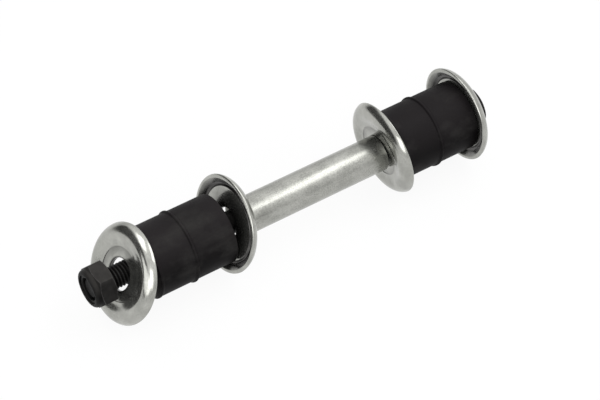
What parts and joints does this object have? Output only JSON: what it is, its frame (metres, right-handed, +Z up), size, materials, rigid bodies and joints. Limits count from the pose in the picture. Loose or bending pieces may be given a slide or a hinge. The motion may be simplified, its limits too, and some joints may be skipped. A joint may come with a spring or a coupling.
{
  "type": "stabilizer link",
  "caption": "Bolt-type stabilizer link: rubber bushing pairs between dished washers, held apart by a spacer sleeve on a long bolt with a lock nut.",
  "frame": {"origin": "the far seam, on the bolt axis midway between the bushings next to the head, where the suspension arm is clamped", "axes": "+X along the bolt from the nut to the head, +Z up as the link lies in the picture, +Y away from the camera"},
  "size_m": [0.1964, 0.043, 0.0431],
  "materials": {
    "black_steel": "black phosphated steel, satin",
    "zinc_steel": "bright zinc plate with a faint cloudy grain",
    "bushing_rubber": "matte moulded black rubber",
    "ring_plastic": "dark nylon locking ring"
  },
  "bodies": {
    "bolt_group": {"bolt": "black_steel", "bushing_head_inner": "bushing_rubber", "bushing_head_outer": "bushing_rubber", "washer_head": "zinc_steel"},
    "far_washer": {"washer_sleeve_far": "zinc_steel"},
    "sleeve_group": {"sleeve": "zinc_steel"},
    "near_washer": {"washer_sleeve_near": "zinc_steel"},
    "near_bushing_inner": {"bushing_nut_inner": "bushing_rubber"},
    "near_bushing_outer": {"bushing_nut_outer": "bushing_rubber"},
    "nut_ring_group": {"nut_ring": "ring_plastic"},
    "nut_group": {"nut_body": "black_steel"},
    "nut_washer": {"washer_nut": "zinc_steel"}
  },
  "joints": [
    {"name": "nut_travel", "type": "slide", "parent": "bolt_group", "child": "nut_ring_group", "axis": [1, 0, 0], "range_m": [0, 0.0206]},
    {"name": "nut_turn", "type": "hinge", "parent": "nut_ring_group", "child": "nut_group", "pos_m": [-0.163, 0, 0], "axis": [1, 0, 0], "range_deg": [0, 4945]},
    {"name": "nut_washer_rock", "type": "hinge", "parent": "nut_ring_group", "child": "nut_washer", "pos_m": [-0.15307, 0.0006, -0.01355], "axis": [0, 1, 0], "range_deg": [-25.31, 0]},
    {"name": "outer_bushing_slide", "type": "slide", "parent": "bolt_group", "child": "near_bushing_outer", "axis": [1, 0, 0], "range_m": [0, 0.00755]},
    {"name": "inner_bushing_slide", "type": "slide", "parent": "bolt_group", "child": "near_bushing_inner", "axis": [1, 0, 0], "range_m": [0, 0.00755]},
    {"name": "sleeve_slide", "type": "slide", "parent": "bolt_group", "child": "sleeve_group", "axis": [1, 0, 0], "range_m": [0, 0.00169]},
    {"name": "near_washer_rock", "type": "hinge", "parent": "sleeve_group", "child": "near_washer", "pos_m": [-0.09639, 0.0006, 0.00755], "axis": [0, 1, 0], "range_deg": [-13.51, 0]},
    {"name": "far_washer_rock", "type": "hinge", "parent": "bolt_group", "child": "far_washer", "pos_m": [-0.01956, 0.0006, -0.01075], "axis": [0, 1, 0], "range_deg": [0, 5.31]}
  ],
  "couplings": [
    {"joint": "nut_turn", "follows": "nut_travel", "rad_per_m": 4188.8},
    {"joint": "nut_washer_rock", "follows": "nut_travel", "rad_per_m": -21.435},
    {"joint": "outer_bushing_slide", "follows": "nut_travel", "ratio": 0.36602},
    {"joint": "inner_bushing_slide", "follows": "nut_travel", "ratio": 0.36602},
    {"joint": "sleeve_slide", "follows": "nut_travel", "ratio": 0.081311},
    {"joint": "near_washer_rock", "follows": "nut_travel", "rad_per_m": -11.438},
    {"joint": "far_washer_rock", "follows": "nut_travel", "rad_per_m": 4.4904}
  ]
}
